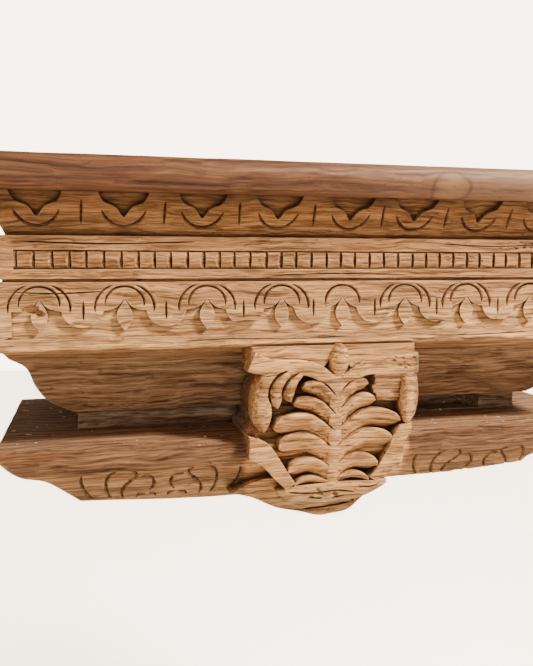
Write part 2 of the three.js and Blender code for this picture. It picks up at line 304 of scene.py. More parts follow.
def half_moon_sink(x):
    """The sunk shape that hangs under the rail at one cusp of the upper band."""
    edge = curve([(x - 18.5, 119), (x - 15, 113), (x - 6, 109), (x, 102),
                  (x + 6, 109), (x + 15, 113), (x + 18.5, 119)], 2.2)
    return [(x - 18.5, 123), *edge, (x + 18.5, 123)]


BUD_EDGE = [(0.3, 39.4), (3.6, 34), (5.9, 29), (5.2, 22.5), (0, 15.5)]
GROUND_FOOT = 10.5


def lower_ground(a, b):
    """The sunk field from one cusp to the next: under the scallops, round the almond buds."""
    mid = (a + b) / 2
    drop = min(15.5, (b - a) / 2 - 9)
    bud_side = curve(BUD_EDGE, 3)
    left_bud = [(a + x, z) for x, z in bud_side]
    right_bud = [(b - x, z) for x, z in bud_side]
    left = curve([(a + 1.2, 39), (a + 4.4, 35), (a + 9, 32.4), (mid - drop, 31)], 3)
    right = [(a + b - x, z) for x, z in left]
    cup = sweep((mid, 32), (drop, 13.8), 180, 360, 16)
    if a == -MOTIF_END:
        left_bud, left = [(a + 6, 31), (a + 6, GROUND_FOOT + 2)], [(a + 7, 31)]
        cup = [(a + 18, 30)]
    if b == MOTIF_END:
        right_bud, right = [(b - 6, 31), (b - 6, GROUND_FOOT + 2)], [(b - 7, 31)]
        cup = [(b - 18, 30)]
    return [*left, *cup[1:-1], *right[::-1], *right_bud, (b + 0.3, GROUND_FOOT), (a - 0.3, GROUND_FOOT),
            *left_bud[::-1]]


def upper_strokes():
    for x in UPPER_MOTIFS:
        yield v_cut(sweep((x, UPPER_ARC_Z), UPPER_ARC, 200, 340, 14), upper_face)


def upper_ticks():
    for a, b in zip(UPPER_MOTIFS, UPPER_MOTIFS[1:]):
        x = (a + b) / 2 + carver.uniform(-1, 1)
        low, high = UPPER_TICK
        yield v_cut(run((x, low), (x + carver.uniform(-1, 1), high), 3), upper_face)


def inner_arcs():
    for x in LOWER_MOTIFS:
        yield v_cut(sweep((x, INNER_ARC_Z), INNER_ARC, -8, 188, 16), lower_face)


def outer_arcs():
    for x in LOWER_MOTIFS:
        if x != SINGLE_ARC_MOTIF:
            for first, last in [(190, 112), (68, -10)]:
                yield v_cut(sweep((x, OUTER_ARC_Z), OUTER_ARC, first, last, 9), lower_face)


def lower_ticks():
    for a, b in zip(LOWER_MOTIFS, LOWER_MOTIFS[1:]):
        x = (a + b) / 2 + carver.uniform(-1, 1)
        low, high = LOWER_TICK
        yield v_cut(run((x, low), (x, high), 2.5), lower_face, TICK_WIDTH)


worked(timber, gathered("bead_notches", list(bead_notches())), "DIFFERENCE")
for side in (-1, 1):
    plan = [(side * 255.4, 0.4), (side * 267.2, 0.4), (side * 267.2, 12), (side * 255.4, 12)]
    plain_block = [[(x, reach(setback), z) for x, setback in plan] for z in (62, 78)]
    worked(timber, solid("plain_block", plain_block), "UNION")
worked(timber, gathered("upper_sinks", [
    sunk_ground(half_moon_sink(x), upper_face, UPPER_SINK) for x in UPPER_MOTIFS]), "DIFFERENCE")
stops = [-MOTIF_END, *LOWER_MOTIFS, MOTIF_END]
gaps = list(zip(stops, stops[1:]))
for every_other in (gaps[::2], gaps[1::2]):
    worked(timber, gathered("lower_grounds", [
        sunk_ground(lower_ground(a, b), lower_face, LOWER_SINK) for a, b in every_other]), "DIFFERENCE")
for strokes in (upper_strokes, upper_ticks, inner_arcs, outer_arcs, lower_ticks):
    worked(timber, gathered(strokes.__name__, list(strokes())), "DIFFERENCE")

# The scrolled lower band: the sloping underside of the foot moulding, with one S scroll motif cut in
# single strokes on each side of the leaf. Each motif is a half and its mirror image.
SCROLL_TOP = -92
SCROLL_HEIGHT = 38
SCROLL_LEAN = 26
SCROLL_WIDTH = 3.4
SCROLL_DEPTH = 2.8
SCROLL_AXES = (-147, 137)
HALF_SCROLL = [
    [(63, -98), (64, -104), (62, -112), (59, -118), (55, -122)],
    [(36, -96), (41, -98.5), (44.5, -105), (44.5, -113), (43, -119), (40, -124)],
    [(25, -97), (21, -99), (21.5, -103), (27, -108), (31.5, -114), (32.5, -119), (31, -124)],
    [(17, -102), (10, -103), (7, -107.5), (7, -112), (10, -117)],
    [(11, -119.5), (6, -121), (5, -123.5)],
    [(13, -120.5), (19, -121), (20.5, -124)],
]


def scroll_face(x, z, lift):
    slope = math.atan2(SCROLL_LEAN, SCROLL_HEIGHT)
    setback = max(0, (SCROLL_TOP - z) * SCROLL_LEAN / SCROLL_HEIGHT)
    return (x, reach(setback - lift * math.cos(slope)), z - lift * math.sin(slope))


for axis in SCROLL_AXES:
    for side in (-1, 1):
        worked(timber, gathered("scroll_strokes", [
            v_cut(curve([(axis + side * u, z) for u, z in stroke], 2.5), scroll_face,
                  SCROLL_WIDTH, SCROLL_DEPTH)
            for stroke in HALF_SCROLL]), "DIFFERENCE")

# The acanthus block: the projecting middle of the same timber, carved as a leaf that hangs from a
# bud, with two arms that curl under the band, lobes off a central rib, a V border and a broken foot.
GROUND = 10
BLOCK_BACK = 112
BLOCK_ROWS = 24
STEM_LEAN = 0.055
STEM_X = -2
STEM_TOP = -24
STEM_LENGTH = 94
STEM_ROWS = 45
LOBE_PITCH = 14.6
BUD_TOP = 1.5
BUD_LENGTH = 30
BUD_HALF = 8.8
BUD_THICK = 8
BUD_WAIST = 0.42
BUD_ROWS = 24
LEAF_FRONT = -8
LEAF_STEP = 2.2
BURIED = GROUND + 1
LOBE_WAVE = 0.55
SECTION_STEPS = 14
TIP_FROM = 0.74
TIP_LEAST = 0.15
ROOT_FALL = 0.12
LOBE_ROOT = 0.2
LOBE_LINE_WIDTH, LOBE_LINE_DEPTH = 2.8, 5
# Each lobe: root, middle, tip and half width.
LOBES = [
    [(-6, -51), (-19, -36), (-34, -34), 6.0], [(-6, -66), (-22, -50), (-41, -46.5), 6.2],
    [(-7, -81), (-30, -63.5), (-58, -66.5), 8.0], [(-8.5, -95), (-30, -80), (-54, -83.5), 8.2],
    [(-9.5, -109), (-27, -99), (-46, -104.5), 6.8], [(-10, -117), (-26, -111.5), (-41, -116), 3.8],
    [(0, -47), (11, -35), (23, -33), 5.8], [(-1, -62), (13, -49), (29.5, -47), 6.6],
    [(-3, -79), (22, -62), (52, -65.5), 7.8], [(-4, -94), (20, -79), (46, -82.5), 8.2],
    [(-5, -108), (12, -97.5), (32, -103), 6.8], [(-6, -115), (9, -109.5), (24, -115), 3.8],
]


def smooth(t):
    t = min(1, max(0, t))
    return t * t * (3 - 2 * t)


# How far the face falls back across a lobe, from its upper edge (1) to its lower edge (-1).
SHINGLE = [(1, 2.2), (0.88, 0.4), (0.7, 0), (0.3, 0.7), (-0.2, 2.2), (-0.7, 4.8), (-1, 7.4)]
STRAP = [(1, 1.5), (0.85, 0.2), (0.6, 0), (0, 0.3), (-0.6, 0.9), (-0.86, 1.6), (-1, 3.2)]
FINGER = [(1, 4.2), (0.85, 2), (0.5, 0.5), (0, 0), (-0.5, 0.5), (-0.85, 2), (-1, 4.2)]


def between(stops, at):
    """The value at a place along (place, value) stops that run down from 1 to -1."""
    for (high, first), (low, second) in zip(stops, stops[1:]):
        if at >= low:
            return first + (second - first) * (high - at) / (high - low)
    return stops[-1][1]


def along(values, t):
    """Even steps from root to tip, eased between the values."""
    place = t * (len(values) - 1)
    i = min(int(place), len(values) - 2)
    return values[i] + (values[i + 1] - values[i]) * smooth(place - i)


def lobe(name, spine, widths, fronts, section, tip=True, flat_root=0.0):
    """A strip carved along a spine: half widths and fronts run from root to tip."""
    path = curve(spine, LEAF_STEP)
    steps = len(path) - 1
    turned = 1 if path[1][0] > path[0][0] else -1
    rings = []
    for i, (x, z) in enumerate(path):
        t = i / steps
        before, after = path[max(i - 1, 0)], path[min(i + 1, steps)]
        tangent = Vector((after[0] - before[0], after[1] - before[1])).normalized()
        normal = Vector((-tangent.y, tangent.x)) * turned
        half = along(widths, t)
        if tip:
            rounding = max(0, (t - TIP_FROM) / (1 - TIP_FROM))
            half *= max(TIP_LEAST, math.sqrt(max(0, 1 - rounding ** 2)))
        fall = 1 if flat_root == 0 else ROOT_FALL + (1 - ROOT_FALL) * smooth(t / flat_root)
        ring = []
        for k in range(SECTION_STEPS + 1):
            w = 1 - 2 * k / SECTION_STEPS
            px, pz = x + normal.x * half * w, z + normal.y * half * w
            front = along(fronts, t) + fall * between(section, w) + LOBE_WAVE * ripple(px, 0, pz, 5)
            ring.append((px, reach(front), pz))
        for w in (-0.95, 0.95):
            ring.append((x + normal.x * half * w, reach(BURIED), z + normal.y * half * w))
        rings.append(ring)
    return solid(name, rings)


def leaf_block():
    """The plain core that carries the leaf: the ground between the lobes, back to the timber."""
    right = [(64, -1.5), (66, -9), (68, -22), (66, -38), (63, -56), (58, -68), (54, -76), (48, -96),
             (30, -114)]
    left = [(-40, -116), (-54, -96), (-66, -84), (-78, -80), (-77, -72), (-70, -66), (-73, -48),
            (-71, -36), (-66, -28), (-72, -12), (-76, -1.5)]
    outline = right + left
    rings = []
    for i in range(BLOCK_ROWS + 1):
        setback = GROUND + (BLOCK_BACK - GROUND) * i / BLOCK_ROWS
        rings.append([(x + 0.9 * ripple(z, setback, x, 6), reach(setback), z) for x, z in outline])
    return solid("leaf_block", rings)


def stem():
    rings = []
    for i in range(STEM_ROWS + 1):
        z = STEM_TOP - STEM_LENGTH * i / STEM_ROWS
        x = STEM_X + STEM_LEAN * z
        half = 6.4 - 1.6 * i / STEM_ROWS
        front = -7.4 + 0.7 * ((-z - 28) / LOBE_PITCH % 1)
        rings.append([(x - half, reach(front + 0.9), z), (x - half * 0.7, reach(front), z + 0.8),
                      (x + half * 0.7, reach(front), z + 0.8), (x + half, reach(front + 0.9), z),
                      (x + half, reach(BURIED), z), (x - half, reach(BURIED), z)])
    return solid("stem", rings)


def bud():
    """The bud over the arms: an acorn with a band round it."""
    rings = []
    for i in range(BUD_ROWS + 1):
        t = i / BUD_ROWS
        z = BUD_TOP - BUD_LENGTH * t
        taper = abs((t - BUD_WAIST) / (0.43 if t < BUD_WAIST else 0.66)) ** 2.4
        half = BUD_HALF * math.sqrt(max(0.02, 1 - taper))
        band = 0.9 if 0.40 < t < 0.48 else 0
        x = STEM_X + 0.4 - 1.5 * t
        front = LEAF_FRONT - 3.4 + 9 * (abs(t - BUD_WAIST) / (1 - BUD_WAIST)) ** 2.4
        arc = sweep((0, 0), (half + band, BUD_THICK + band), 180, 360, 12)
        rings.append([*[(x + a, reach(front + BUD_THICK + b), z) for a, b in arc],
                      (x + half, reach(BURIED), z), (x - half, reach(BURIED), z)])
    return solid("bud", rings)


def slab(name, outline, front, back, ease=1.2, seed=8):
    """A flat-faced slab with a worn edge, for the border, the plate and the broken parts."""
    middle = [sum(p[k] for p in outline) / len(outline) for k in (0, 1)]

    def ring(setback, gather):
        return [(x + (middle[0] - x) * gather, reach(setback + 1.5 * ripple(x, setback, z, seed)),
                 z + (middle[1] - z) * gather) for x, z in outline]
    size = max(math.dist(p, middle) for p in outline)
    return solid(name, [ring(front, ease / size * 1.4), ring(front + 0.4, ease / size * 0.5),
                        ring(front + ease, 0), ring((front + back) / 2, 0), ring(back, 0)])


def lobe_spine(root, middle, end):
    """A lobe's middle line: it springs up from the rib and droops to the tip."""
    return [root, ((root[0] + middle[0]) / 2, root[1] * 0.42 + middle[1] * 0.58), middle,
            ((middle[0] + end[0]) / 2, middle[1] * 0.55 + end[1] * 0.45 + 1), end]


block = leaf_block()
for root, middle, end, half in LOBES:
    widths = [half * 0.95, half * 1.08, half]
    fronts = [LEAF_FRONT + 1.6, LEAF_FRONT, LEAF_FRONT + 0.6]
    spine = lobe_spine(root, middle, end)
    worked(block, lobe("lobe", spine, widths, fronts, SHINGLE, flat_root=LOBE_ROOT), "UNION")
ARMS = [
    ([(-5, -36.5), (-14, -26.5), (-24, -20), (-36, -17), (-52, -16.4), (-66, -15), (-77, -11)],
     [7.2, 6.4, 6.2, 6.4, 6.8, 8.6]),
    ([(0, -34), (9, -26), (20, -19), (33, -17.5), (50, -17), (67, -16)], [6.6, 6.2, 7, 8, 8.6, 9]),
]
ARM_FRONTS = [-7.6, -8.6, -9, -9]
for spine, widths in ARMS:
    worked(block, lobe("arm", spine, widths, ARM_FRONTS, STRAP, tip=False), "UNION")
HEAD = [(-77, -16), (-16, -18), (-11.5, -12), (4, -12), (8, -18), (66, -16), (65, 0.4), (-76, 0.4)]
worked(block, slab("head", HEAD, -4.6, 30, 1), "UNION")
PETALS = [
    ([(-52, -19), (-62, -25), (-67, -37), (-68, -52), (-66.5, -69)], [4.5, 6.5, 8, 8.2, 6]),
    ([(-43, -19), (-51, -25), (-56, -33.5), (-56.3, -42), (-55, -50)], [4, 5, 6.2, 5.8, 4]),
    ([(-34, -21), (-41, -26.5), (-45, -33), (-45.6, -39), (-44, -45)], [3.4, 4.4, 5.6, 5.2, 3.8]),
    ([(59.5, -20), (61, -34), (61, -46), (60, -57), (58.5, -69)], [6.4, 7.6, 8, 7.4, 5]),
]
PETAL_FRONTS = [-7, -9, -9, -6.5]
for spine, widths in PETALS:
    worked(block, lobe("petal", spine, widths, PETAL_FRONTS, FINGER), "UNION")
worked(block, stem(), "UNION")
worked(block, bud(), "UNION")


def upper_edge(spine, half, share):
    """The line along a lobe's upper edge, from the rib out to a share of its length."""
    path = curve(spine, LEAF_STEP)
    turned = 1 if path[1][0] > path[0][0] else -1
    edge = []
    for (x0, z0), (x, z), (x1, z1) in zip(path, path[1:], path[2:]):
        slope = Vector((x1 - x0, z1 - z0)).normalized()
        edge.append((x - slope.y * turned * half, z + slope.x * turned * half))
    return edge[2:max(6, round(share * len(edge)))]


def leaf_face(x, z, lift):
    return (x, reach(LEAF_FRONT - 0.8 - lift), z)


for root, middle, end, half in LOBES:
    line = upper_edge(lobe_spine(root, middle, end), half * 1.04, 0.7)
    worked(block, v_cut(line, leaf_face, LOBE_LINE_WIDTH, LOBE_LINE_DEPTH), "DIFFERENCE")

# The lines that part the three fingers of the left-hand curl from each other and from the arm.
CURL_LINES = [
    [(-47, -19), (-55, -23.5), (-61, -31), (-62.3, -40), (-59, -49)],
    [(-37, -21), (-45, -26), (-50, -33), (-51.2, -40), (-48.5, -46)],
]
LOWER_ARM_LINE = [(-71, -23.5), (-60, -22.8), (-50, -21.4)]
worked(block, gathered("curl_lines", [v_cut(curve(path, 3), leaf_face, 3, 6) for path in CURL_LINES]),
       "DIFFERENCE")
worked(block, v_cut(curve(LOWER_ARM_LINE, 3), leaf_face, 2.4, 2.5), "DIFFERENCE")
# Broken end grain where the right-hand curl is gone, in ragged ridges.
RIDGES = 7
RIDGE_TOP = -24
RIDGE_PITCH = 3.5
RIDGE_END = 54
for i in range(RIDGES):
    z = RIDGE_TOP - RIDGE_PITCH * i
    start = 30 + 1.6 * max(0, i - 3) + carver.uniform(-2, 1)
    front = -4.5 + 0.6 * i + carver.uniform(-1.3, 1.3)
    ridge = [(start, z), (RIDGE_END, z - 0.6), (RIDGE_END, z - 4), (start, z - 3.4)]
    worked(block, slab("broken_ridge", ridge, front, GROUND + 2, 0.8), "UNION")
BORDER_LEFT = [*curve([(-79, -72), (-73, -74), (-66, -77), (-60, -82), (-54, -91), (-48, -101),
                       (-40, -113)], 4),
               *curve([(-48, -118), (-58, -108), (-68, -97), (-80, -90)], 4)]
BORDER_RIGHT = [*curve([(24, -112), (30, -106), (36, -96), (42, -86), (46, -76), (52, -69)], 4),
                *curve([(63, -67), (62, -75), (55.5, -84), (54, -100), (40, -111), (30, -116)], 4)]
SLAB_BACK = 60
PLATE_FRONT = -7
FOOT_FRONT = 4
worked(block, slab("left_border", BORDER_LEFT, -9, SLAB_BACK, 2), "UNION")
worked(block, slab("right_border", BORDER_RIGHT, -8, SLAB_BACK, 2), "UNION")
PLATE = [(-44, -115.5), (-20, -114.6), (0, -114.2), (28, -114.8), (38, -113.5), (41, -118), (26, -126),
         (8, -130.5), (-12, -131), (-30, -130), (-47, -127), (-56, -119)]
worked(block, slab("plate", curve(PLATE + PLATE[:1], 4)[:-1], PLATE_FRONT, SLAB_BACK, 2), "UNION")
BROKEN_FOOT = [(-93, -121), (-75, -126), (-54, -136), (-34, -141), (-17, -146), (-6, -145.4),
               (10, -143), (22, -134), (31, -126), (42, -115), (20, -110), (-60, -110)]
broken_edge = curve(BROKEN_FOOT + BROKEN_FOOT[:1], 4)[:-1]
worked(block, slab("broken_foot", broken_edge, FOOT_FRONT, SLAB_BACK, 2.5, 9), "UNION")
worked(timber, block, "UNION")

# Wear and damage in the same timber: drying splits along the grain, fissures in the broken foot, and
# pits where rot and worm have eaten the face.
SPLITS = [
    [(-262, 46), (-225, 44.5), (-190, 46)], [(-130, 6), (-90, 7.2), (-40, 6), (8, 7)],
    [(78, 6.5), (120, 5.6), (178, 7.4)], [(-60, 57.5), (-10, 59), (60, 58)],
    [(88, 84), (140, 82), (196, 84.5)], [(-250, 83.5), (-190, 82), (-120, 84)],
    [(120, 20), (150, 18.5), (188, 20)],
]
PLATE_LOW = -128.5
FISSURES = [
    [(-46, -120.5), (-24, -122.5), (-4, -121.5), (12, -124)], [(-30, -126), (-12, -127.5), (4, -126)],
    [(-62, -128), (-36, -133.5), (-14, -136)], [(-30, -139), (-8, -138), (12, -136)],
    [(14, -119.5), (26, -120.5), (34, -117.5)],
]


def pit(x, z, face, radius):
    """A rotted or worm-eaten pit: a ragged little crater."""
    rings = []
    for share, lift in [(1.25, 1.2), (1, -0.3), (0.75, -radius * 0.55), (0.3, -radius * 0.95)]:
        turns = [math.radians(40 * i) for i in range(9)]
        rings.append([face(x + radius * 1.5 * share * math.cos(a) * carver.uniform(0.75, 1.2),
                           z + radius * share * math.sin(a) * carver.uniform(0.75, 1.2), lift)
                      for a in turns])
    return solid("pit", rings)


def plate_face(x, z, lift):
    return (x, reach((PLATE_FRONT if z > PLATE_LOW else FOOT_FRONT) - lift), z)


def fillet_face(x, z, lift):
    return (x, reach(0.5 - lift), z)


worked(timber, gathered("splits", [
    v_cut(curve(path, 6), fillet_face if path[0][1] > 56 else lower_face, carver.uniform(0.9, 1.5), 2.4)
    for path in SPLITS]), "DIFFERENCE")
worked(timber, gathered("fissures", [
    v_cut(curve(path, 4), plate_face, 1.8, 3.2) for path in FISSURES]), "DIFFERENCE")
# Fields of worm holes: how many, then their reach along, their heights, the face and their radii.
LEAF_WORM = (12, (44, 64), (-24, -9), leaf_face, (0.8, 1.8))
FOOT_ROT = (14, (-34, 22), (-142, -119), plate_face, (0.9, 2.2))
FILLET_WORM = (26, (146, 186), (79, 86.5), fillet_face, (0.7, 1.6))
BEAD_WORM = (14, (96, 138), (64, 76), fillet_face, (0.8, 1.7))
# Single pits: place, height, face and radius.
PITS = [(-244, 32, lower_face, 4.6), (-238.5, 29.5, lower_face, 3.2), (-247, 25, lower_face, 1.8),
        (-185, 11.5, lower_face, 2.2), (-6, -124.5, plate_face, 2.6)]


def eaten(count, across, heights, face, radii):
    for _ in range(count):
        x, z = carver.uniform(*across), carver.uniform(*heights)
        worked(timber, pit(x, z, face, carver.uniform(*radii)), "DIFFERENCE")


eaten(*LEAF_WORM)
eaten(*FOOT_ROT)
for place in PITS:
    worked(timber, pit(*place), "DIFFERENCE")
eaten(*FILLET_WORM)
eaten(*BEAD_WORM)

# The finished timber: brought to metres, rounded in shading except at its arrises, and given the look
# of old, dry teak.
TIMBER_ARRIS = 32
timber.data.transform(Matrix.Scale(MM, 4))
for polygon in timber.data.polygons:
    polygon.use_smooth = True
timber.data.set_sharp_from_angle(angle=math.radians(TIMBER_ARRIS))


def linear(hex_colour):
    """A hex sRGB colour as linear RGBA."""
    parts = [int(hex_colour[i:i + 2], 16) / 255 for i in (1, 3, 5)]
    return (*[c / 12.92 if c <= 0.04045 else ((c + 0.055) / 1.055) ** 2.4 for c in parts], 1)


def node(tree, kind, settings=None, links=None, stops=None):
    """Adds a node, sets its properties, inputs and ramp stops, and links inputs that are sockets."""
    made = tree.nodes.new(kind)
    for name, value in (settings or {}).items():
        setattr(made, name, value)
    for key, value in (links or {}).items():
        if isinstance(value, bpy.types.NodeSocket):
            tree.links.new(value, made.inputs[key])
        else:
            made.inputs[key].default_value = value
    if stops:
        ramp = made.color_ramp.elements
        while len(ramp) < len(stops):
            ramp.new(0.5)
        for element, (place, colour) in zip(ramp, stops):
            element.position, element.color = place, colour
    return made


def grey(level):
    return (level, level, level, 1)


def streaks(tree, place, length, width, detail, seed):
    """Noise drawn out along the timber: streaks of a length and width in millimetres."""
    across = 1 / (width * MM)
    stretched = node(tree, "ShaderNodeMapping", None, {
        "Vector": place, "Location": (seed, seed, seed), "Scale": (1 / (length * MM), across, across)})
    return node(tree, "ShaderNodeTexNoise", None, {
        "Vector": stretched.outputs[0], "Scale": 1, "Detail": detail, "Roughness": 0.62}).outputs["Fac"]


# Weathered teak, hand carved and never varnished: dull, dry and open-grained, with dark streaks and
# drying checks along the timber, worn pale with a painted highlight on the arrises and with painted shade
# dark in the hollows.
STREAK_LENGTH, STREAK_WIDTH = 80, 2.7
FIGURE_LENGTH, FIGURE_WIDTH = 190, 9
CHECK_LENGTH, CHECK_WIDTH = 120, 5.5
FIBRE_LENGTH, FIBRE_WIDTH = 26, 0.9
PATCH_SIZE = 55
GRAIN_DRIFT = 12
SPECK_SIZE = 6
HOLLOW_SHADE_REACH = 14
WEAR_AND_HIGHLIGHT_REACH = 3
PORE_DEPTH = 1.5
LOWEST, HIGHEST = -147, 121
# The wood's colour by height, from the foot up to the rail, with painted shade in it: darker on the tier
# under the cornice, and darker up the upper band towards the rail, where the board's shadow falls.
HEIGHT_TONES_AND_SHADE = [(-147, "#a8835e"), (-130, "#b98f62"), (-94, "#b2865a"), (-91, "#8a6446"), (-79, "#886244"),
         (-75.5, "#a8866a"), (-60, "#bfa78f"), (-57, "#a88565"), (-12, "#ae8b68"), (-1, "#d6a673"),
         (10, "#f0bd86"), (29, "#f2c088"), (33, "#d6a470"), (54, "#cb996a"), (86, "#c79463"),
         (90, "#b8875a"), (105, "#a87847"), (120, "#7c5533")]
# The leaf's painted light: a paler colour where it stands forward of the ground.
LIT_LEAF_COLOUR = "#ebb57c"
CHECK_COLOUR = "#4a2f1a"
HOLLOW_SHADE_COLOUR = "#22130a"
WORN_HIGHLIGHT_COLOUR = "#ecc79c"
SPECK_COLOUR = "#e6ded4"
# The edges of the leaf's paler face, painted light where the leaf stands forward: the axis, then where
# its colour starts and where it is full.
LIT_LEAF_EDGES = [(1, reach(26), reach(14)), (0, -82, -77), (0, 66, 61), (2, 1, -2)]
LIT_LEAF_FOOT, LIT_LEAF_FOOT_FULL, LIT_LEAF_FOOT_SHARE = -130, -112, 0.25
# Where the pale arrises fade out under the rail: a painted shadow of the board over the upper band.
HIGHLIGHT_SHADOWED_TOP, HIGHLIGHT_UNSHADOWED = 112, 98
# How shut in a hollow is where the painted shade starts and where it is full, how sharp an arris is where
# wear and a painted highlight start and are full, and the most of the wood that each hides.
HOLLOW_SHADE_FROM, HOLLOW_SHADE_FULL, HOLLOW_SHADE_SHARE = 0.72, 0.2, 0.84
ARRIS_FROM, ARRIS_FULL, WEAR_AND_HIGHLIGHT_SHARE = 0.84, 0.4, 0.3
SPECK_FROM, SPECK_FULL = 0.72, 0.76
CHECK_SHARE, CHECK_OPENING = 0.55, 0.35
FIBRE_SHARE = 0.5
ROUGH_DARK, ROUGH_PALE = 0.82, 0.6
LEDGE_EDGES = [(-80, -77), (-70, -75)]
# How much of the wood's colour each pattern leaves, in red, green and blue, from dark to pale streaks.
GRAIN_TONES = [(0.32, (0.22, 0.17, 0.12, 1)), (0.44, (0.66, 0.60, 0.53, 1)),
               (0.53, (1.0, 0.97, 0.92, 1)), (0.68, (1.45, 1.40, 1.30, 1))]
FIGURE_TONES = [(0.32, (0.66, 0.60, 0.54, 1)), (0.5, (1, 1, 1, 1)), (0.68, (1.15, 1.12, 1.06, 1))]
FIBRE_TONES = [(0.36, (0.62, 0.56, 0.50, 1)), (0.5, (1, 1, 1, 1)), (0.66, (1.14, 1.12, 1.08, 1))]
CHECK_LINE = [(0.478, 0), (0.493, 1), (0.497, 1), (0.512, 0)]
MIX = {"data_type": "RGBA", "blend_type": "MIX"}
MULTIPLY = {"data_type": "RGBA", "blend_type": "MULTIPLY"}
FADE = {"interpolation_type": "SMOOTHSTEP"}
TIMES = {"operation": "MULTIPLY", "use_clamp": True}


